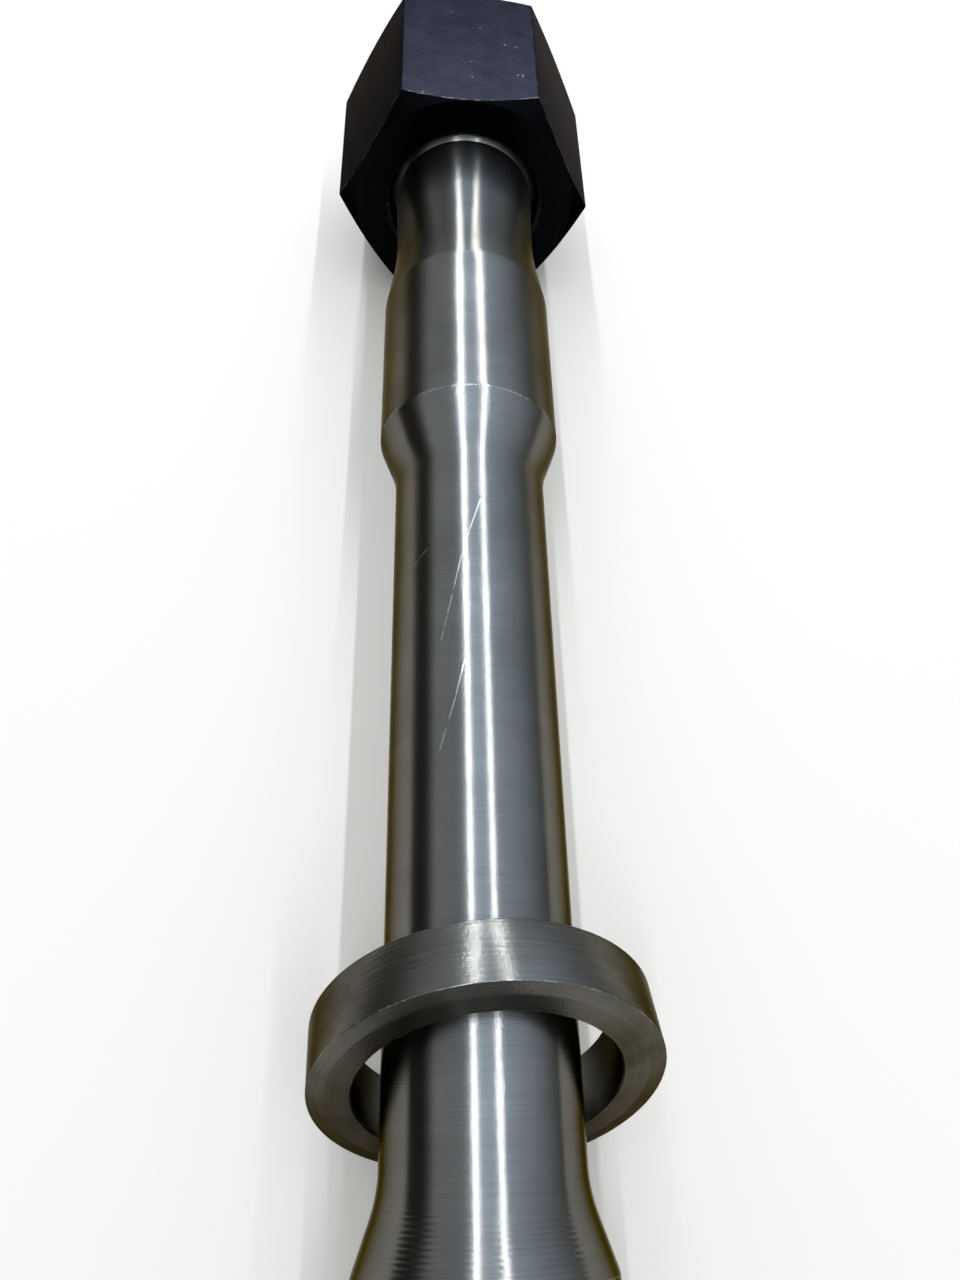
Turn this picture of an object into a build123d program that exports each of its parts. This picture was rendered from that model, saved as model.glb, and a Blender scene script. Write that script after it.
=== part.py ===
from build123d import *
from math import acos, degrees, radians, tan
import os

# A waisted stud with a nut on each end and a loose ring round its shank, in millimetres.
# It lies level on the flats of its two nuts. +Z is up, +Y runs along the stud, and the
# origin is on the floor, under the middle of the stud. Its two ends are alike.

# M72 x 6 thread, drawn as a plain cylinder of its outside diameter
thread_d = 72.0
thread_pitch = 6.0
thread_root_d = thread_d - 1.2269 * thread_pitch

# stud: lengths along the axis are measured from the nut's seat towards the middle
grip = 577.0
shank_d = 58.5
band_d = 72.0
band_edge = 148.5
band_start = 75.0
flank_start = 45.0
neck_straight = 31.0
neck_d = 63.0
cone_angle = 20.0
runout_depth = 2.5
end_reach = 12.0
shank_fillet = 36.0
band_round = 6.0
flank_fillet = 170.0
flank_round = 15.0
centre_hole_d = 6.3
centre_sink_d = 14.0
centre_hole_depth = 20.0
centre_sink_angle = 60.0

# nut: chamfered at both faces, with a countersink at both ends of its bore
nut_flats = 105.0
nut_height = 82.0
nut_face_d = 104.0
nut_chamfer_angle = 30.0
nut_sink_d = 1.05 * thread_d
thread_gap = 0.05

# ring: it stands on the floor and leans on the top of the shank with its bore's edge
ring_d = 104.0
ring_bore_d = 78.5
ring_width = 20.0
ring_bevel_radial = 5.0
ring_bevel_axial = 0.8
ring_edge = 0.5
ring_touch = 350.0
ring_yaw = 3.2
ring_gap = 0.05

shank_r = shank_d / 2
band_r = band_d / 2
thread_r = thread_d / 2
root_r = thread_root_d / 2
seat_y = grip / 2
tip_y = seat_y + nut_height + end_reach
axis_height = nut_flats / 2


def outline(corners):
    """A closed face through corner points, with X as the radius and Y along the axis."""
    return make_face(Polyline(*corners, close=True))


def rounded(face, radius, along, fillet_r):
    """The face with its corner nearest to a given radius and place rounded off."""
    corner = face.vertices().sort_by_distance(Vector(radius, along, 0))[0]
    return fillet(corner, fillet_r)


def turned(face):
    """The solid that a half section sweeps about the axis."""
    return revolve(face, Axis.Y).solid()


def stud_section():
    """Half section of the stud's +Y end, from mid-length to the centre-drilled tip."""
    cone_length = (band_r - shank_r) / tan(radians(cone_angle))
    edge_y = seat_y - band_edge
    start_y = seat_y - band_start
    flank_y = seat_y - flank_start
    thread_y = seat_y + runout_depth
    thread_depth = thread_r - root_r
    sink_depth = (centre_sink_d - centre_hole_d) / 2 / tan(radians(centre_sink_angle / 2))
    section = outline([
        (0, 0),
        (shank_r, 0),
        (shank_r, edge_y - cone_length),
        (band_r, edge_y),
        (band_r, start_y),
        (neck_d / 2, flank_y),
        (neck_d / 2, seat_y - neck_straight),
        (root_r, seat_y),
        (root_r, thread_y),
        (thread_r, thread_y + thread_depth),
        (thread_r, tip_y - thread_depth),
        (root_r, tip_y),
        (centre_sink_d / 2, tip_y),
        (centre_hole_d / 2, tip_y - sink_depth),
        (centre_hole_d / 2, tip_y - centre_hole_depth),
        (0, tip_y - centre_hole_depth),
    ])
    section = rounded(section, shank_r, edge_y - cone_length, shank_fillet)
    section = rounded(section, band_r, edge_y, band_round)
    section = rounded(section, band_r, start_y, flank_round)
    return rounded(section, neck_d / 2, flank_y, flank_fillet)


def make_stud():
    """The stud, turned from one bar, with both ends alike."""
    half = turned(stud_section())
    return Pos(0, 0, axis_height) * (half + mirror(half, Plane.XZ)).clean()


def make_nut(side):
    """A nut on the +Y end (side 1) or the -Y end (side -1), with a flat on the floor."""
    hexagon = RegularPolygon(nut_flats / 2, 6, major_radius=False)
    prism = Rot(-90, 0, 0) * extrude(hexagon, nut_height)
    bore_r = thread_r + thread_gap
    sink_r = nut_sink_d / 2
    sink_depth = sink_r - bore_r
    face_r = nut_face_d / 2
    outer_r = nut_flats
    chamfer_depth = (outer_r - face_r) * tan(radians(nut_chamfer_angle))
    envelope = turned(outline([
        (sink_r, 0),
        (face_r, 0),
        (outer_r, chamfer_depth),
        (outer_r, nut_height - chamfer_depth),
        (face_r, nut_height),
        (sink_r, nut_height),
        (bore_r, nut_height - sink_depth),
        (bore_r, sink_depth),
    ]))
    nut = Pos(0, seat_y, axis_height) * (prism & envelope)
    return nut if side > 0 else mirror(nut, Plane.XZ)


def ring_section():
    """Half section of the ring: its far face at Y 0, its bevelled near face at -Y."""
    outer_r = ring_d / 2
    bore_r = ring_bore_d / 2
    near_y = -ring_width
    return outline([
        (bore_r + ring_edge, 0),
        (outer_r - ring_edge, 0),
        (outer_r, -ring_edge),
        (outer_r, near_y + ring_bevel_axial),
        (outer_r - ring_bevel_radial, near_y),
        (bore_r + ring_edge, near_y),
        (bore_r, near_y + ring_edge),
        (bore_r, -ring_edge),
    ])


def make_ring():
    """The ring, on the floor by its far lower edge and on the shank by its bore's edge."""
    outer_r = ring_d / 2
    bore_r = ring_bore_d / 2
    touch_height = axis_height + shank_r + ring_gap
    lean = degrees(acos(touch_height / (outer_r + bore_r)))
    hung = Pos(0, ring_edge, -bore_r) * turned(ring_section())
    leaning = Rot(0, 0, ring_yaw) * Rot(-lean, 0, 0) * hung
    return Pos(0, seat_y - ring_touch, touch_height) * leaning


parts = {
    "stud": make_stud(),
    "far_nut": make_nut(1),
    "near_nut": make_nut(-1),
    "ring": make_ring(),
}

os.makedirs("parts", exist_ok=True)
for name, shape in parts.items():
    export_step(shape, f"parts/{name}.step")
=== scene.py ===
import math
import bpy
import bmesh
from mathutils import Matrix, Vector


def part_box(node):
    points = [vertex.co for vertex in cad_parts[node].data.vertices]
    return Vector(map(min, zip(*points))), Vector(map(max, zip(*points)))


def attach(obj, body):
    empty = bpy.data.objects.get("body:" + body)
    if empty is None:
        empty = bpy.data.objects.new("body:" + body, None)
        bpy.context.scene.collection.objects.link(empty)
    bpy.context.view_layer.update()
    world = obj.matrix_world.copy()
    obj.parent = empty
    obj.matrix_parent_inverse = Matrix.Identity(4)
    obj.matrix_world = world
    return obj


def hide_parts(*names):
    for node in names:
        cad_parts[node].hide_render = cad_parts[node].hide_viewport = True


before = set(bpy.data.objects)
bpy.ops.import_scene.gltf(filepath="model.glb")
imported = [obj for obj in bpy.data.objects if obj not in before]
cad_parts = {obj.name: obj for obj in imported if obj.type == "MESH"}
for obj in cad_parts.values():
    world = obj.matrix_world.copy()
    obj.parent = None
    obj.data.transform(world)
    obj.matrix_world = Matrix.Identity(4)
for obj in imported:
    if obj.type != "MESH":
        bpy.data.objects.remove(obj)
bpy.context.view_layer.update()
mm = 0.001

# places that every piece shares, taken from the parts in model.glb
studLow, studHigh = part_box("stud")
nutLow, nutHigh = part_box("far_nut")
axisHeight = (nutLow.z + nutHigh.z) / 2
seatY = nutLow.y  # bearing face of the far nut; the near one is its mirror
tipY = studHigh.y
nutHeight = nutHigh.y - nutLow.y
nutFlats = nutHigh.z - nutLow.z


def linearColour(hexColour):
    channels = [int(hexColour[i:i + 2], 16) / 255 for i in (1, 3, 5)]
    linear = [c / 12.92 if c <= 0.04045 else ((c + 0.055) / 1.055) ** 2.4 for c in channels]
    return (*linear, 1.0)


def addNode(tree, kind, settings={}, inputs={}):
    node = tree.nodes.new(kind)
    for name, value in settings.items():
        setattr(node, name, value)
    for name, value in inputs.items():
        socket = node.inputs[name]
        if isinstance(value, bpy.types.NodeSocket):
            tree.links.new(value, socket)
        else:
            socket.default_value = value
    return node


def newMaterial(name):
    material = bpy.data.materials.new(name)
    material.use_nodes = True
    material.node_tree.nodes.clear()
    return material, material.node_tree


def roundedPath(corners, arcSteps):
    # corners are (along, radius, fillet); the result is (along, radius, wear), and wear peaks mid-arc
    points = [Vector(corner[:2]) for corner in corners]
    path = []
    for i, corner in enumerate(corners):
        fillet = corner[2]
        if not fillet:
            path.append((points[i].x, points[i].y, 0.0))
            continue
        before = (points[i - 1] - points[i]).normalized()
        after = (points[(i + 1) % len(points)] - points[i]).normalized()
        turn = math.pi - before.angle(after)
        reach = fillet * math.tan(turn / 2)
        centre = points[i] + (before + after).normalized() * fillet / math.cos(turn / 2)
        first = points[i] + before * reach - centre
        last = points[i] + after * reach - centre
        for k in range(arcSteps + 1):
            share = k / arcSteps
            spoke = first * math.sin((1 - share) * turn) + last * math.sin(share * turn)
            point = centre + spoke / math.sin(turn)
            path.append((point.x, point.y, math.sin(math.pi * share)))
    return path


def filledPath(path, longest):
    # adds points so that no run is longer than a given length
    filled = [path[0]]
    for old, new in zip(path, path[1:]):
        steps = max(1, math.ceil(math.dist(old[:2], new[:2]) / longest))
        for k in range(1, steps + 1):
            filled.append(tuple(a + (b - a) * k / steps for a, b in zip(old, new)))
    return filled


def gridPiece(name, columns, materials, slotOfRow, closedLoop):
    # columns[c][r] is (place, wear, turning); each column meets the next one, and the last the first
    count, rows = len(columns), len(columns[0])
    mesh = bpy.data.meshes.new(name)
    verts, faces, uvs, slots = [], [], [], []
    for column in columns:
        verts += [point[0] for point in column]
    lengths = [0.0]
    for r in range(1, rows + (1 if closedLoop else 0)):
        lengths.append(lengths[-1] + (verts[r % rows] - verts[r - 1]).length)
    for c in range(count):
        for r in range(rows if closedLoop else rows - 1):
            a, b = c * rows, (c + 1) % count * rows
            faces.append((a + r, b + r, b + (r + 1) % rows, a + (r + 1) % rows))
            u0, u1 = c / count, (c + 1) / count
            uvs += [(u0, lengths[r]), (u1, lengths[r]), (u1, lengths[r + 1]), (u0, lengths[r + 1])]
            slots.append(slotOfRow(r))
    mesh.from_pydata(verts, [], faces)
    layer = mesh.uv_layers.new(name="turned")
    layer.data.foreach_set("uv", [value for pair in uvs for value in pair])
    wear = mesh.attributes.new("wear", "FLOAT", "POINT")
    wear.data.foreach_set("value", [point[1] for column in columns for point in column])
    turning = mesh.attributes.new("turning", "FLOAT_VECTOR", "POINT")
    turning.data.foreach_set("vector", [v for column in columns for point in column for v in point[2]])
    for material in materials:
        mesh.materials.append(material)
    mesh.polygons.foreach_set("material_index", slots)
    mesh.polygons.foreach_set("use_smooth", [True] * len(faces))
    # the rows at a pole fall together there, so they are merged and the shell is closed
    shape = bmesh.new()
    shape.from_mesh(mesh)
    bmesh.ops.remove_doubles(shape, verts=shape.verts, dist=1e-6)
    bmesh.ops.dissolve_degenerate(shape, edges=shape.edges, dist=1e-7)
    bmesh.ops.recalc_face_normals(shape, faces=shape.faces)
    shape.to_mesh(mesh)
    shape.free()
    mesh.set_sharp_from_angle(angle=math.radians(32))
    piece = bpy.data.objects.new(name, mesh)
    bpy.context.scene.collection.objects.link(piece)
    return piece


def turnedColumns(path, segments, place):
    # sweeps a path of (along Y, radius, wear) round the Y axis, from the bottom, then moves it to its place
    columns = []
    wrap = 0.03  # radius that the turning attribute is wound on, so its noise has one scale everywhere
    for c in range(segments):
        angle = 2 * math.pi * c / segments - math.pi
        column, length, old = [], 0.0, path[0]
        for point in path:
            along, radius, wear = point
            length += math.dist(old[:2], point[:2])
            old = point
            spot = place @ Vector((radius * math.sin(angle), along, radius * math.cos(angle)))
            column.append((spot, wear, (math.sin(angle) * wrap, length, math.cos(angle) * wrap)))
        columns.append(column)
    return columns


def lineMask(tree, spot, start, end, width):
    # 1 on a straight scratch between two points, fading to 0 at its width
    run = Vector(end) - Vector(start)
    offset = addNode(tree, "ShaderNodeVectorMath", {"operation": "SUBTRACT"}, {0: spot, 1: start})
    along = addNode(tree, "ShaderNodeVectorMath", {"operation": "DOT_PRODUCT"}, {
        0: offset.outputs[0], 1: run / run.length_squared})
    held = addNode(tree, "ShaderNodeClamp", {}, {"Value": along.outputs["Value"]})
    foot = addNode(tree, "ShaderNodeVectorMath", {"operation": "SCALE"}, {0: run, "Scale": held.outputs[0]})
    away = addNode(tree, "ShaderNodeVectorMath", {"operation": "DISTANCE"}, {
        0: offset.outputs[0], 1: foot.outputs[0]})
    return addNode(tree, "ShaderNodeMapRange", {}, {
        "Value": away.outputs["Value"], "From Min": width, "From Max": width * 0.4}).outputs[0]


# settings of the sums that the materials share
times, plus, minus = [{"operation": kind} for kind in ("MULTIPLY", "ADD", "SUBTRACT")]
greatest, absolute, sine = [{"operation": kind} for kind in ("MAXIMUM", "ABSOLUTE", "SINE")]


def steelMaterial(name, look, marks=None):
    # turned steel: fine rings round the part, so a lamp draws a long line along it with a soft glow
    material, tree = newMaterial(name)
    turning = addNode(tree, "ShaderNodeAttribute", {"attribute_name": "turning"}).outputs["Vector"]
    wear = addNode(tree, "ShaderNodeAttribute", {"attribute_name": "wear"}).outputs["Fac"]
    place = addNode(tree, "ShaderNodeTexCoord").outputs["Object"]
    tangent = addNode(tree, "ShaderNodeTangent", {"direction_type": "UV_MAP", "uv_map": "turned"})
    ringScale = (12, 1 / look["ringSpacing"], 12)
    rings = addNode(tree, "ShaderNodeMapping", {}, {"Vector": turning, "Scale": ringScale})
    ringNoise = addNode(tree, "ShaderNodeTexNoise", {}, {
        "Vector": rings.outputs[0], "Scale": 1.0, "Detail": 3.0, "Roughness": 0.6})
    grain = addNode(tree, "ShaderNodeTexNoise", {}, {
        "Vector": place, "Scale": 1 / look["grainSize"], "Detail": 2.0, "Roughness": 0.6})
    cloud = addNode(tree, "ShaderNodeTexNoise", {}, {
        "Vector": place, "Scale": 1 / look["cloudSize"], "Detail": 4.0, "Roughness": 0.6}).outputs["Fac"]
    grainPart = addNode(tree, "ShaderNodeMapRange", {}, {
        "Value": cloud, "From Min": 0.4, "From Max": 0.62,
        "To Min": look["grainBump"] * 0.3, "To Max": look["grainBump"]}).outputs[0]
    # the worn edges: nicks where the edge meets a coarse noise
    nickNoise = addNode(tree, "ShaderNodeTexNoise", {}, {
        "Vector": place, "Scale": 1 / look["nickSize"], "Detail": 3.0, "Roughness": 0.7}).outputs["Fac"]
    worn = addNode(tree, "ShaderNodeMath", times, {0: wear, 1: nickNoise}).outputs[0]
    bright = addNode(tree, "ShaderNodeMapRange", {}, {
        "Value": worn, "From Min": look["nickFrom"], "From Max": look["nickFrom"] + 0.08}).outputs[0]
    if marks:
        parts = addNode(tree, "ShaderNodeSeparateXYZ", {}, {0: place}).outputs
        mirrored = addNode(tree, "ShaderNodeMath", absolute, {0: parts[1]}).outputs[0]
        # coarser tool marks on the cones, where the turner fed by hand
        coneMiddle = seatY - marks["coneEnd"] - marks["coneLength"] / 2
        offCone = addNode(tree, "ShaderNodeMath", minus, {0: mirrored, 1: coneMiddle}).outputs[0]
        fromCone = addNode(tree, "ShaderNodeMath", absolute, {0: offCone}).outputs[0]
        onCone = addNode(tree, "ShaderNodeMapRange", {}, {
            "Value": fromCone, "From Min": marks["coneLength"] * 0.52,
            "From Max": marks["coneLength"] * 0.3}).outputs[0]
        phase = addNode(tree, "ShaderNodeMath", times, {0: mirrored, 1: 2 * math.pi / marks["feed"]}).outputs[0]
        wave = addNode(tree, "ShaderNodeMath", sine, {0: phase}).outputs[0]
        waveOnCone = addNode(tree, "ShaderNodeMath", times, {0: wave, 1: onCone}).outputs[0]
        coneBump = addNode(tree, "ShaderNodeBump", {}, {
            "Strength": 0.6, "Distance": marks["feedHeight"], "Height": waveOnCone})
        # a painted highlight along the band's edge, broken up by noise
        offEdge = addNode(tree, "ShaderNodeMath", minus, {0: mirrored, 1: seatY - marks["coneEnd"]}).outputs[0]
        edgeAway = addNode(tree, "ShaderNodeMath", absolute, {0: offEdge}).outputs[0]
        edgeHighlight = addNode(tree, "ShaderNodeMapRange", {}, {
            "Value": edgeAway, "From Min": 0.5 * mm, "From Max": 0.15 * mm}).outputs[0]
        edgeBreaks = addNode(tree, "ShaderNodeMapRange", {}, {
            "Value": nickNoise, "From Min": 0.42, "From Max": 0.62}).outputs[0]
        scratchesAndEdgeHighlight = addNode(tree, "ShaderNodeMath", times, {0: edgeHighlight, 1: edgeBreaks}).outputs[0]
        # scratches, in distance round the shank from its top, and distance along it
        around = addNode(tree, "ShaderNodeUVMap", {"uv_map": "turned"}).outputs[0]
        around = addNode(tree, "ShaderNodeSeparateXYZ", {}, {0: around}).outputs[0]
        around = addNode(tree, "ShaderNodeMath", minus, {0: around, 1: 0.5}).outputs[0]
        across = addNode(tree, "ShaderNodeMath", times, {
            0: around, 1: 2 * math.pi * marks["radius"]}).outputs[0]
        spot = addNode(tree, "ShaderNodeCombineXYZ", {}, {0: across, 1: parts[1]}).outputs[0]
        for run in marks["scratches"]:
            for start, end in zip(run, run[1:]):
                mask = lineMask(tree, spot, (start[0] * mm, start[1] * mm, 0),
                                (end[0] * mm, end[1] * mm, 0), marks["scratchWidth"])
                scratchesAndEdgeHighlight = addNode(tree, "ShaderNodeMath", greatest, {0: scratchesAndEdgeHighlight, 1: mask}).outputs[0]
        dashes = addNode(tree, "ShaderNodeTexNoise", {}, {
            "Vector": place, "Scale": 1 / marks["dashSize"], "Detail": 3.0}).outputs["Fac"]
        kept = addNode(tree, "ShaderNodeMapRange", {}, {
            "Value": dashes, "From Min": 0.38, "From Max": 0.56}).outputs[0]
        scratchesAndEdgeHighlight = addNode(tree, "ShaderNodeMath", times, {0: scratchesAndEdgeHighlight, 1: kept}).outputs[0]
        # the painted highlight of the band's edge and the real scratches, both drawn in the bare colour
        bright = addNode(tree, "ShaderNodeMath", greatest, {0: bright, 1: scratchesAndEdgeHighlight}).outputs[0]
    ringBump = addNode(tree, "ShaderNodeBump", {}, {
        "Strength": look["ringBump"], "Distance": look["ringSpacing"], "Height": ringNoise.outputs["Fac"]})
    if marks:
        tree.links.new(coneBump.outputs[0], ringBump.inputs["Normal"])
    grainBump = addNode(tree, "ShaderNodeBump", {}, {
        "Strength": grainPart, "Distance": look["grainSize"],
        "Height": grain.outputs["Fac"], "Normal": ringBump.outputs[0]})
    # faint streaks round the part and clouds of handling marks
    ringShare = addNode(tree, "ShaderNodeMath", times, {0: ringNoise.outputs["Fac"], 1: 0.35}).outputs[0]
    cloudShare = addNode(tree, "ShaderNodeMath", times, {0: cloud, 1: 0.65}).outputs[0]
    mixed = addNode(tree, "ShaderNodeMath", plus, {0: ringShare, 1: cloudShare}).outputs[0]
    streak = addNode(tree, "ShaderNodeMapRange", {}, {
        "Value": mixed, "From Min": 0.36, "From Max": 0.62}).outputs[0]
    tint = addNode(tree, "ShaderNodeMix", {"data_type": "RGBA"}, {
        "Factor": streak, 6: linearColour(look["dullColour"]), 7: linearColour(look["colour"])}).outputs[2]
    bare = addNode(tree, "ShaderNodeMix", {"data_type": "RGBA"}, {
        "Factor": bright, 6: tint, 7: linearColour(look["bareColour"])}).outputs[2]
    rough = addNode(tree, "ShaderNodeMapRange", {}, {
        "Value": cloud, "From Min": 0.3, "From Max": 0.7,
        "To Min": look["roughness"] * 1.15, "To Max": look["roughness"] * 0.9}).outputs[0]
    scuffed = addNode(tree, "ShaderNodeMath", times, {0: bright, 1: 0.25}).outputs[0]
    rough = addNode(tree, "ShaderNodeMath", plus, {0: rough, 1: scuffed}).outputs[0]
    # the grazing tint darkens and browns the reflections towards the sides: painted shade
    shader = addNode(tree, "ShaderNodeBsdfPrincipled", {}, {
        "Base Color": bare, "Metallic": 1.0, "Roughness": rough,
        "Specular Tint": linearColour(look["grazingShadeTint"]), "Anisotropic": look["anisotropy"],
        "Anisotropic Rotation": 0.25, "Tangent": tangent.outputs[0], "Normal": grainBump.outputs[0]})
    addNode(tree, "ShaderNodeOutputMaterial", {}, {"Surface": shader.outputs[0]})
    return material


def blackMaterial(name, look):
    # black-oxided steel: a dark satin skin with fine pits, worn bright along the edges and in small nicks
    material, tree = newMaterial(name)
    place = addNode(tree, "ShaderNodeTexCoord").outputs["Object"]
    wear = addNode(tree, "ShaderNodeAttribute", {"attribute_name": "wear"}).outputs["Fac"]
    grain = addNode(tree, "ShaderNodeTexNoise", {}, {
        "Vector": place, "Scale": 1 / look["grainSize"], "Detail": 4.0, "Roughness": 0.65}).outputs["Fac"]
    chips = addNode(tree, "ShaderNodeTexNoise", {}, {
        "Vector": place, "Scale": 1 / look["chipSize"], "Detail": 3.0, "Roughness": 0.6}).outputs["Fac"]
    patch = addNode(tree, "ShaderNodeTexNoise", {}, {
        "Vector": place, "Scale": 1 / look["patchSize"], "Detail": 3.0, "Roughness": 0.6}).outputs["Fac"]
    pits = addNode(tree, "ShaderNodeTexVoronoi", {"feature": "F1"}, {
        "Vector": place, "Scale": 1 / look["pitSize"], "Randomness": 1.0})
    pitDepth = addNode(tree, "ShaderNodeMapRange", {}, {
        "Value": pits.outputs["Distance"], "From Min": 0.12, "From Max": 0.3}).outputs[0]
    pitHeight = addNode(tree, "ShaderNodeMath", times, {0: pitDepth, 1: 0.5}).outputs[0]
    height = addNode(tree, "ShaderNodeMath", plus, {0: grain, 1: pitHeight}).outputs[0]
    bump = addNode(tree, "ShaderNodeBump", {}, {
        "Strength": look["bump"], "Distance": look["grainSize"], "Height": height})
    rubbed = addNode(tree, "ShaderNodeMath", times, {0: wear, 1: chips}).outputs[0]
    worn = addNode(tree, "ShaderNodeMapRange", {}, {
        "Value": rubbed, "From Min": look["wearFrom"], "From Max": look["wearFrom"] + 0.1}).outputs[0]
    # nicks are the few pits that fall in a patch of rough handling
    nicks = addNode(tree, "ShaderNodeMapRange", {}, {
        "Value": pits.outputs["Distance"], "From Min": 0.16, "From Max": 0.07}).outputs[0]
    handled = addNode(tree, "ShaderNodeMapRange", {}, {
        "Value": patch, "From Min": look["nickFrom"], "From Max": look["nickFrom"] + 0.05}).outputs[0]
    nicked = addNode(tree, "ShaderNodeMath", times, {0: nicks, 1: handled}).outputs[0]
    bare = addNode(tree, "ShaderNodeMath", greatest, {0: worn, 1: nicked}).outputs[0]
    skin = addNode(tree, "ShaderNodeMix", {"data_type": "RGBA"}, {
        "Factor": patch, 6: linearColour(look["dullColour"]), 7: linearColour(look["colour"])}).outputs[2]
    colour = addNode(tree, "ShaderNodeMix", {"data_type": "RGBA"}, {
        "Factor": bare, 6: skin, 7: linearColour(look["bareColour"])}).outputs[2]
    rough = addNode(tree, "ShaderNodeMapRange", {}, {
        "Value": grain, "From Min": 0.3, "From Max": 0.7,
        "To Min": look["roughness"] * 0.85, "To Max": look["roughness"] * 1.15}).outputs[0]
    # the grazing tint darkens the reflections at grazing angles: painted shade
    shader = addNode(tree, "ShaderNodeBsdfPrincipled", {}, {
        "Base Color": colour, "Metallic": 1.0, "Roughness": rough,
        "Specular Tint": linearColour(look["grazingShadeTint"]), "Normal": bump.outputs[0]})
    addNode(tree, "ShaderNodeOutputMaterial", {}, {"Surface": shader.outputs[0]})
    return material


turnedSteel = steelMaterial("turnedSteel", {
    "colour": "#716f6a", "dullColour": "#64625e", "bareColour": "#a9a9a6", "grazingShadeTint": "#8f8872",
    "roughness": 0.2, "anisotropy": 0.94, "ringSpacing": 0.45 * mm, "ringBump": 0.1,
    "grainSize": 0.7 * mm, "grainBump": 0.06, "cloudSize": 30 * mm, "nickSize": 3 * mm, "nickFrom": 0.85,
}, {
    "coneEnd": 148.5 * mm, "coneLength": 18.5 * mm, "feed": 1.3 * mm, "feedHeight": 0.03 * mm,
    "radius": 29.25 * mm, "scratchWidth": 0.32 * mm, "dashSize": 4 * mm, "scratches": [
        [(1.5, 91.7), (-4.8, 71.3), (-9.2, 51.4), (-12.7, 36.8)],
        [(-4.8, 28.5), (-8.3, 14.2), (-13.3, -2.0)],
        [(-18.4, 74.0), (-24.5, 69.4)],
    ]})
ringSteel = steelMaterial("satinTurnedSteel", {
    "colour": "#6a6863", "dullColour": "#56544e", "bareColour": "#b4b4b0", "grazingShadeTint": "#8f8872",
    "roughness": 0.23, "anisotropy": 0.88, "ringSpacing": 0.7 * mm, "ringBump": 0.14,
    "grainSize": 0.9 * mm, "grainBump": 0.07, "cloudSize": 16 * mm, "nickSize": 3 * mm, "nickFrom": 0.46})
brightCut = steelMaterial("freshCutSteel", {
    "colour": "#55565a", "dullColour": "#3c3c3e", "bareColour": "#b9b9b6", "grazingShadeTint": "#6f695c",
    "roughness": 0.25, "anisotropy": 0.3, "ringSpacing": 0.6 * mm, "ringBump": 0.1,
    "grainSize": 0.7 * mm, "grainBump": 0.05, "cloudSize": 30 * mm, "nickSize": 3 * mm, "nickFrom": 0.7})
blackOxide = blackMaterial("blackOxideSteel", {
    "colour": "#34353c", "dullColour": "#222329", "bareColour": "#8d8a86", "grazingShadeTint": "#8a8070",
    "roughness": 0.42, "grainSize": 0.9 * mm, "bump": 0.2, "chipSize": 4 * mm, "patchSize": 9 * mm,
    "pitSize": 3 * mm, "wearFrom": 0.42, "nickFrom": 0.6})
# the nuts' end faces and chamfers: the same black oxide, its colour painted darker as shade, smoother and with
# a finer bump
blackFace = blackMaterial("shadedBlackOxideSteel", {
    "colour": "#0e0e10", "dullColour": "#0a0a0b", "bareColour": "#8f8c88", "grazingShadeTint": "#2e2c28",
    "roughness": 0.3, "grainSize": 0.8 * mm, "bump": 0.08, "chipSize": 4 * mm, "patchSize": 22 * mm,
    "pitSize": 6 * mm, "wearFrom": 0.6, "nickFrom": 0.9})
print("materials made")


stud = {
    "shankRadius": 29.25 * mm, "bandRadius": 36 * mm, "neckRadius": 31.5 * mm, "threadRadius": 36 * mm,
    "pitch": 6 * mm, "rootRadius": 36 * mm - 0.6134 * 6 * mm, "rootRound": 0.6 * mm,
    "bandEdge": 148.5 * mm, "bandStart": 75 * mm, "flankStart": 45 * mm, "neckStraight": 31 * mm,
    "coneAngle": 20, "runout": 2.5 * mm, "shankFillet": 36 * mm, "bandRound": 6 * mm,
    "flankFillet": 170 * mm, "flankRound": 15 * mm,
    "holeRadius": 3.15 * mm, "sinkRadius": 7 * mm, "holeDepth": 20 * mm,
    "threadInside": 8 * mm, "threadStep": 0.4 * mm, "plainStep": 6 * mm, "segments": 256,
}


def studHalf():
    s = stud
    coneLength = (s["bandRadius"] - s["shankRadius"]) / math.tan(math.radians(s["coneAngle"]))
    edgeY = seatY - s["bandEdge"]
    depth = s["threadRadius"] - s["rootRadius"]
    sinkDepth = (s["sinkRadius"] - s["holeRadius"]) / math.tan(math.radians(30))
    return [
        (edgeY - coneLength, s["shankRadius"], s["shankFillet"]),
        (edgeY, s["bandRadius"], s["bandRound"]),
        (seatY - s["bandStart"], s["bandRadius"], s["flankRound"]),
        (seatY - s["flankStart"], s["neckRadius"], s["flankFillet"]),
        (seatY - s["neckStraight"], s["neckRadius"], 0),
        (seatY, s["rootRadius"], 0),
        (seatY + s["runout"], s["rootRadius"], 0),
        (seatY + s["runout"] + depth, s["threadRadius"], 0),
        (tipY - depth, s["threadRadius"], 0.2 * mm),
        (tipY, s["rootRadius"], 0.2 * mm),
        (tipY, s["sinkRadius"], 0.1 * mm),
        (tipY - sinkDepth, s["holeRadius"], 0),
        (tipY - s["holeDepth"], s["holeRadius"], 0),
        (tipY - s["holeDepth"], 0, 0),
    ]


def makeStud():
    half = studHalf()
    far = roundedPath([(0, stud["shankRadius"], 0)] + half, 12)
    threadFrom = seatY + nutHeight - stud["threadInside"]
    path = []
    for old, new in zip(far, far[1:]):
        fine = new[0] > threadFrom and new[1] > stud["rootRadius"] - mm
        path += filledPath([old, new], stud["threadStep"] if fine else stud["plainStep"])[:-1]
    path.append(far[-1])
    near = [(-along, radius, wear) for along, radius, wear in reversed(path[1:])]
    place = Matrix.Translation((0, 0, axisHeight))
    columns = turnedColumns(near + path, stud["segments"], place)
    return gridPiece("stud_turned", columns, [turnedSteel], lambda row: 0, False), threadFrom


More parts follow.
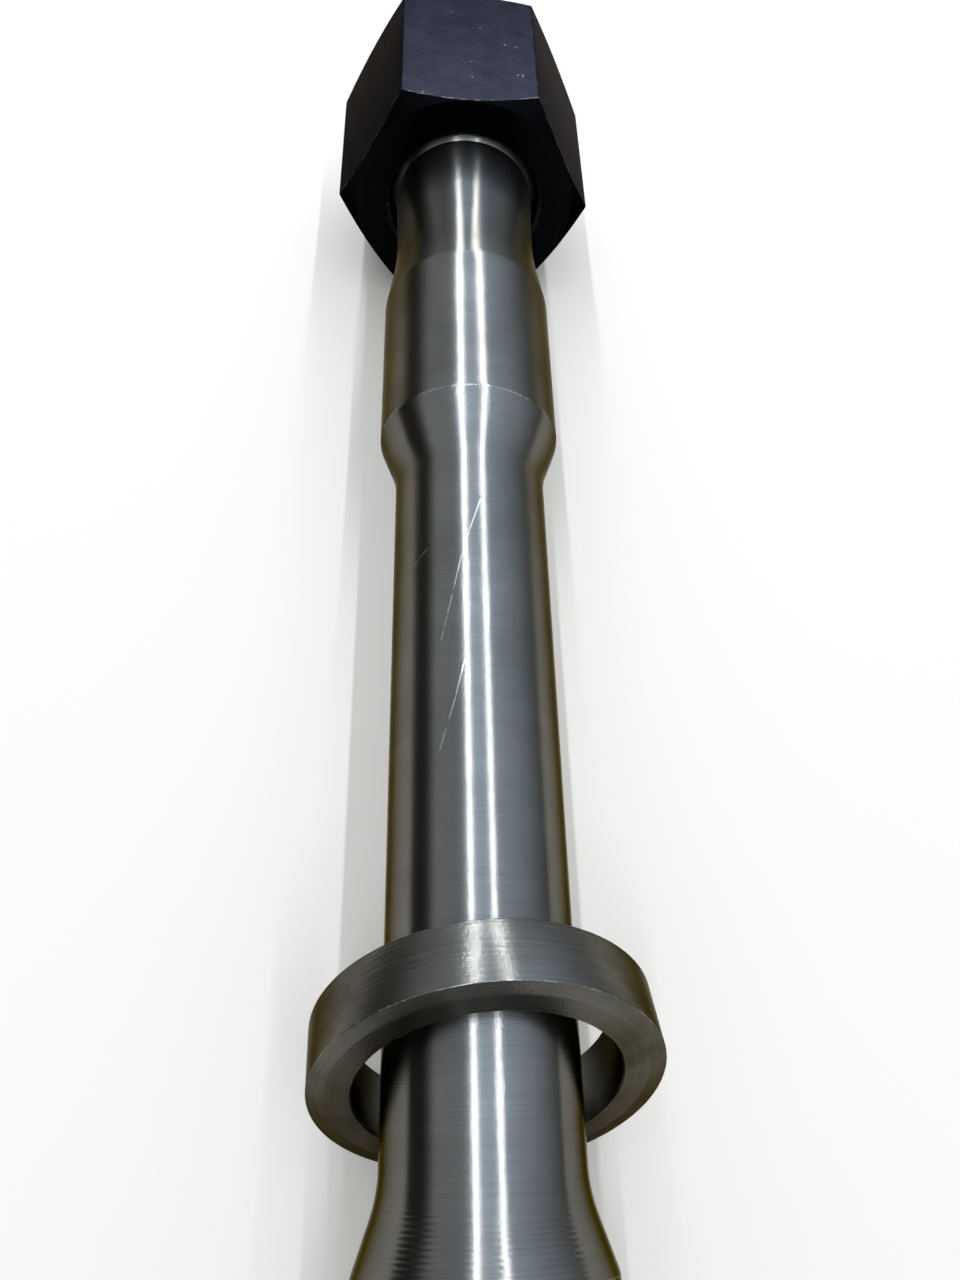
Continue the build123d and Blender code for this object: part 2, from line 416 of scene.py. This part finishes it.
def threadTree():
    # lowers the surface into a right-hand V groove wherever it stands proud of it
    tree = bpy.data.node_groups.new("cutThread", "GeometryNodeTree")
    sizes = ("Pitch", "Major Radius", "Groove Depth", "Axis Height", "Start")
    tree.interface.new_socket("Geometry", in_out="INPUT", socket_type="NodeSocketGeometry")
    for name in sizes:
        tree.interface.new_socket(name, in_out="INPUT", socket_type="NodeSocketFloat")
    tree.interface.new_socket("Material", in_out="INPUT", socket_type="NodeSocketMaterial")
    tree.interface.new_socket("Geometry", in_out="OUTPUT", socket_type="NodeSocketGeometry")
    given = addNode(tree, "NodeGroupInput").outputs
    place = addNode(tree, "GeometryNodeInputPosition").outputs[0]
    parts = addNode(tree, "ShaderNodeSeparateXYZ", {}, {0: place}).outputs
    values = {"x": parts[0], "y": parts[1], "z": parts[2], **{name: given[name] for name in sizes}}
    # each sum is (name, operation, terms), and a term is a number or the name of an earlier value
    for name, operation, *terms in [
        ("height", "SUBTRACT", "z", "Axis Height"),
        ("acrossSquared", "POWER", "x", 2.0),
        ("heightSquared", "POWER", "height", 2.0),
        ("radiusSquared", "ADD", "acrossSquared", "heightSquared"),
        ("radius", "SQRT", "radiusSquared"),
        ("angle", "ARCTAN2", "x", "height"),
        ("turns", "DIVIDE", "angle", 2 * math.pi),
        ("pitches", "DIVIDE", "y", "Pitch"),
        ("phase", "SUBTRACT", "pitches", "turns"),
        ("crestShare", "PINGPONG", "phase", 0.5),
        ("fromCrest", "MULTIPLY", "crestShare", "Pitch"),
        ("crestHalf", "DIVIDE", "Pitch", 16.0),
        ("fromFlat", "SUBTRACT", "fromCrest", "crestHalf"),
        ("slope", "MULTIPLY", "fromFlat", math.sqrt(3)),
        ("flank", "MAXIMUM", "slope", 0.0),
        ("rounded", "SMOOTH_MIN", "flank", "Groove Depth", stud["rootRound"]),
        ("groove", "MAXIMUM", "rounded", 0.0),
        ("cutRadius", "SUBTRACT", "Major Radius", "groove"),
        ("wanted", "MINIMUM", "cutRadius", "radius"),
        ("safeRadius", "MAXIMUM", "radius", 1e-6),
        ("share", "DIVIDE", "wanted", "safeRadius"),
        ("movedX", "MULTIPLY", "x", "share"),
        ("movedHeight", "MULTIPLY", "height", "share"),
        ("movedZ", "ADD", "movedHeight", "Axis Height"),
        ("fromMiddle", "ABSOLUTE", "y"),
        ("threaded", "GREATER_THAN", "fromMiddle", "Start"),
    ]:
        inputs = {k: values[term] if isinstance(term, str) else term for k, term in enumerate(terms)}
        values[name] = addNode(tree, "ShaderNodeMath", {"operation": operation}, inputs).outputs[0]
    moved = addNode(tree, "ShaderNodeCombineXYZ", {}, {
        0: values["movedX"], 1: values["y"], 2: values["movedZ"]}).outputs[0]
    cut = addNode(tree, "GeometryNodeSetPosition", {}, {
        "Geometry": given["Geometry"], "Selection": values["threaded"], "Position": moved})
    real = addNode(tree, "GeometryNodeRealizeInstances", {}, {0: cut.outputs[0]})
    dressed = addNode(tree, "GeometryNodeSetMaterial", {}, {
        "Geometry": real.outputs[0], "Material": given["Material"]})
    addNode(tree, "NodeGroupOutput", {}, {0: dressed.outputs[0]})
    return tree


def cutThread(piece, start):
    modifier = piece.modifiers.new("cutThread", "NODES")
    modifier.node_group = threadTree()
    values = {
        "Pitch": stud["pitch"], "Major Radius": stud["threadRadius"],
        "Groove Depth": stud["threadRadius"] - stud["rootRadius"],
        "Axis Height": axisHeight, "Start": start, "Material": turnedSteel,
    }
    for item in modifier.node_group.interface.items_tree:
        if item.in_out == "INPUT" and item.name in values:
            modifier[item.identifier] = values[item.name]
    result = bpy.data.meshes.new_from_object(piece.evaluated_get(bpy.context.evaluated_depsgraph_get()))
    piece.modifiers.clear()
    piece.data = result


studPiece, threadStart = makeStud()
cutThread(studPiece, threadStart)
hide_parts("stud")
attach(studPiece, "root")
print("stud turned and threaded")


nut = {
    "boreRadius": 36.05 * mm, "sinkRadius": 37.8 * mm, "faceRadius": 52 * mm, "chamferAngle": 30,
    "edgeRound": 0.45 * mm, "cornerRound": 1.4 * mm, "sinkRound": 0.15 * mm,
    # rows of points round the wall's section, counted from the seat's countersink
    "sinkRows": 4, "sideRows": range(15, 25), "edgeWearRows": range(13, 26),
    "cornerWearRows": range(14, 27), "cornerWear": 0.75,
}


def hexOutline():
    # points clockwise round a hexagon with flats at the top and bottom, with how worn each corner is
    half = nutFlats / 2
    roundness = nut["cornerRound"]
    reach = half * math.tan(math.radians(30)) - roundness * math.tan(math.radians(30))
    flatSteps, cornerSteps = 12, 6
    points = []
    for side in range(6):
        turn = Matrix.Rotation(math.radians(-60 * side), 2)
        for k in range(flatSteps + 1):
            points.append((turn @ Vector((-reach + 2 * reach * k / flatSteps, half)), 0.0))
        for k in range(1, cornerSteps):
            angle = math.radians(60 * k / cornerSteps)
            spoke = Vector((math.sin(angle), math.cos(angle))) * roundness
            corner = Vector((reach, half - roundness)) + spoke
            points.append((turn @ corner, math.sin(math.pi * k / cornerSteps)))
    return points


def makeNut(name, node, side):
    n = nut
    columns = []
    for point, cornerWear in hexOutline():
        reach = point.length
        chamfer = (reach - n["faceRadius"]) * math.tan(math.radians(n["chamferAngle"]))
        sinkDepth = n["sinkRadius"] - n["boreRadius"]
        loop = roundedPath([
            (sinkDepth, n["boreRadius"], 0),
            (0, n["sinkRadius"], n["sinkRound"]),
            (0, n["faceRadius"], n["edgeRound"]),
            (chamfer, reach, n["edgeRound"]),
            (nutHeight - chamfer, reach, n["edgeRound"]),
            (nutHeight, n["faceRadius"], n["edgeRound"]),
            (nutHeight, n["sinkRadius"], n["sinkRound"]),
            (nutHeight - sinkDepth, n["boreRadius"], 0),
        ], 5)
        column = []
        for row, (along, radius, wear) in enumerate(loop):
            spot = point.normalized() * radius
            place = Vector((spot.x, side * (seatY + along), axisHeight + spot.y))
            edgeWear = wear if row in n["edgeWearRows"] else 0
            sideWear = cornerWear * n["cornerWear"] if row in n["cornerWearRows"] else 0
            column.append((place, max(edgeWear, sideWear), (spot.x, along, spot.y)))
        columns.append(column)

    def slotOfRow(row):
        if row < n["sinkRows"]:
            return 2
        return 0 if row in n["sideRows"] else 1

    piece = gridPiece(name, columns, [blackOxide, blackFace, brightCut], slotOfRow, True)
    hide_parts(node)
    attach(piece, "root")
    return piece


makeNut("far_nut_black", "far_nut", 1)
makeNut("near_nut_black", "near_nut", -1)
print("nuts made")


ring = {
    "outerRadius": 52 * mm, "boreRadius": 39.25 * mm, "width": 20 * mm,
    "bevelRadial": 5 * mm, "bevelAxial": 0.8 * mm, "edge": 0.5 * mm, "edgeRound": 0.25 * mm,
    "touch": 350 * mm, "yaw": 3.2, "gap": 0.05 * mm, "segments": 256,
}


def makeRing():
    r = ring
    outer, bore, near, edge = r["outerRadius"], r["boreRadius"], -r["width"], r["edge"]
    loop = roundedPath([
        (0, bore + edge, r["edgeRound"]),
        (-edge, bore, r["edgeRound"]),
        (near + edge, bore, r["edgeRound"]),
        (near, bore + edge, r["edgeRound"]),
        (near, outer - r["bevelRadial"], r["edgeRound"]),
        (near + r["bevelAxial"], outer, r["edgeRound"]),
        (-edge, outer, r["edgeRound"]),
        (0, outer - edge, r["edgeRound"]),
    ], 4)
    touchHeight = axisHeight + stud["shankRadius"] + r["gap"]
    lean = math.acos(touchHeight / (outer + bore))
    place = (Matrix.Translation((0, seatY - r["touch"], touchHeight))
             @ Matrix.Rotation(math.radians(r["yaw"]), 4, "Z") @ Matrix.Rotation(-lean, 4, "X")
             @ Matrix.Translation((0, edge, -bore)))
    columns = turnedColumns(loop, r["segments"], place)
    piece = gridPiece("ring_turned", columns, [ringSteel], lambda row: 0, True)
    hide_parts("ring")
    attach(piece, "root")
    return piece


makeRing()
print("ring made")


studio = {
    "floorColour": "#dedcd7", "floorRadius": 9.0, "worldColour": "#e9e9e8", "worldStrength": 0.75,
    "tentRadius": 1.5, "tentFrom": -2.4, "tentTo": 4.2, "tentEdge": 95, "tentSteps": 76,
    "stripWidth": 0.022, "stripLength": 0.79, "stripMiddle": 0.05, "stripInset": 0.03,
    "stripAngles": (-12.0, 15.5),
    "stripTilts": (-25, 5, 35, 65), "stripRadiance": 60.0, "stripColour": "#f4f8ff",
}

# the tent's light by angle from straight up, towards +X: a dim card low on the left, a soft roof above
tentStops = [
    (-95, 0.05, "#fff0e8"), (-72, 0.07, "#fff0e8"), (-64, 0.28, "#f0f6ff"), (-56, 0.92, "#ecf6ff"),
    (-30, 0.86, "#e8f4ff"), (-21, 1.1, "#e2f0ff"), (-13, 3.3, "#d6e9ff"), (-4, 2.7, "#d0e6ff"),
    (4, 2.6, "#cde3ff"), (16, 3.1, "#d0e3ff"), (25, 1.2, "#d8e6ff"), (32, 0.6, "#e0ecff"),
    (42, 0.28, "#e8f2ff"), (56, 0.13, "#eef4ff"), (74, 0.16, "#fffaf0"), (95, 0.17, "#fff4e4"),
]


def makeFloor():
    shape = bmesh.new()
    bmesh.ops.create_circle(shape, cap_ends=True, radius=studio["floorRadius"], segments=96)
    mesh = bpy.data.meshes.new("floor")
    shape.to_mesh(mesh)
    shape.free()
    material, tree = newMaterial("plainPaintedFloor")
    shader = addNode(tree, "ShaderNodeBsdfPrincipled", {}, {
        "Base Color": linearColour(studio["floorColour"]), "Roughness": 0.9, "Specular IOR Level": 0.1})
    addNode(tree, "ShaderNodeOutputMaterial", {}, {"Surface": shader.outputs[0]})
    mesh.materials.append(material)
    floor = bpy.data.objects.new("floor", mesh)
    bpy.context.scene.collection.objects.link(floor)


def makeTent():
    # a fabric arch over the object that only shows in its reflections
    s = studio
    steps, edge = s["tentSteps"], s["tentEdge"]
    verts, faces = [], []
    for k in range(steps + 1):
        angle = math.radians(-edge + 2 * edge * k / steps)
        x, z = s["tentRadius"] * math.sin(angle), axisHeight + s["tentRadius"] * math.cos(angle)
        verts += [(x, s["tentFrom"], z), (x, s["tentTo"], z)]
    for k in range(steps):
        faces.append((2 * k, 2 * k + 1, 2 * k + 3, 2 * k + 2))
    mesh = bpy.data.meshes.new("tent")
    mesh.from_pydata(verts, [], faces)
    material, tree = newMaterial("litTentFabric")
    place = addNode(tree, "ShaderNodeTexCoord").outputs["Object"]
    parts = addNode(tree, "ShaderNodeSeparateXYZ", {}, {0: place}).outputs
    height = addNode(tree, "ShaderNodeMath", {"operation": "SUBTRACT"}, {0: parts[2], 1: axisHeight})
    angle = addNode(tree, "ShaderNodeMath", {"operation": "ARCTAN2"}, {0: parts[0], 1: height.outputs[0]})
    share = addNode(tree, "ShaderNodeMapRange", {}, {
        "Value": angle.outputs[0], "From Min": math.radians(-edge), "From Max": math.radians(edge)})
    ramp = addNode(tree, "ShaderNodeValToRGB", {}, {"Fac": share.outputs[0]})
    elements = ramp.color_ramp.elements
    brightest = max(level for _, level, _ in tentStops)
    for k, (degreesUp, level, tint) in enumerate(tentStops):
        stop = elements[k] if k < 2 else elements.new(0.5)
        stop.position = (degreesUp + edge) / (2 * edge)
        stop.color = [channel * level / brightest for channel in linearColour(tint)[:3]] + [1.0]
    glow = addNode(tree, "ShaderNodeEmission", {}, {"Color": ramp.outputs[0], "Strength": brightest})
    addNode(tree, "ShaderNodeOutputMaterial", {}, {"Surface": glow.outputs[0]})
    mesh.materials.append(material)
    tent = bpy.data.objects.new("tent", mesh)
    bpy.context.scene.collection.objects.link(tent)
    tent.visible_camera = False
    tent.visible_diffuse = False
    tent.visible_shadow = False
    tent.visible_transmission = False


def makeLamps():
    s = studio
    # two rows of tube lamps, each an arc over the object in a plane through its axis
    for row, across in enumerate(s["stripAngles"]):
        for number, along in enumerate(s["stripTilts"]):
            lamp = bpy.data.lights.new(f"strip_{row}_{number}", "AREA")
            lamp.shape = "RECTANGLE"
            lamp.size = s["stripWidth"]
            lamp.size_y = s["stripLength"]
            lamp.energy = s["stripRadiance"] * math.pi * s["stripWidth"] * s["stripLength"]
            lamp.color = linearColour(s["stripColour"])[:3]
            strip = bpy.data.objects.new(lamp.name, lamp)
            turn = (Matrix.Rotation(math.radians(across), 4, "Y")
                    @ Matrix.Rotation(math.radians(-along), 4, "X"))
            outward = Matrix.Translation((0, 0, s["tentRadius"] - s["stripInset"]))
            strip.matrix_world = Matrix.Translation((0, s["stripMiddle"], axisHeight)) @ turn @ outward
            strip.visible_camera = False
            bpy.context.scene.collection.objects.link(strip)
    world = bpy.data.worlds.new("paleRoom")
    world.use_nodes = True
    world.node_tree.nodes.clear()
    back = addNode(world.node_tree, "ShaderNodeBackground", {}, {
        "Color": linearColour(s["worldColour"]), "Strength": s["worldStrength"]})
    addNode(world.node_tree, "ShaderNodeOutputWorld", {}, {"Surface": back.outputs[0]})
    bpy.context.scene.world = world


view = {
    "lens": 25.31, "sensorWidth": 36.0,
    "place": (-0.02179, -0.10143, 0.34269), "turns": (27.656, -4.185, -1.236),
}


def makeCamera():
    # held above the near end, looking along the shank and down at about 62 degrees
    lens = bpy.data.cameras.new("camera")
    lens.lens = view["lens"]
    lens.sensor_width = view["sensorWidth"]
    camera = bpy.data.objects.new("camera", lens)
    camera.location = view["place"]
    camera.rotation_euler = [math.radians(turn) for turn in view["turns"]]
    bpy.context.scene.collection.objects.link(camera)
    bpy.context.scene.camera = camera


makeFloor()
makeTent()
makeLamps()
makeCamera()
bpy.context.scene.view_settings.view_transform = "Standard"
print("studio set")
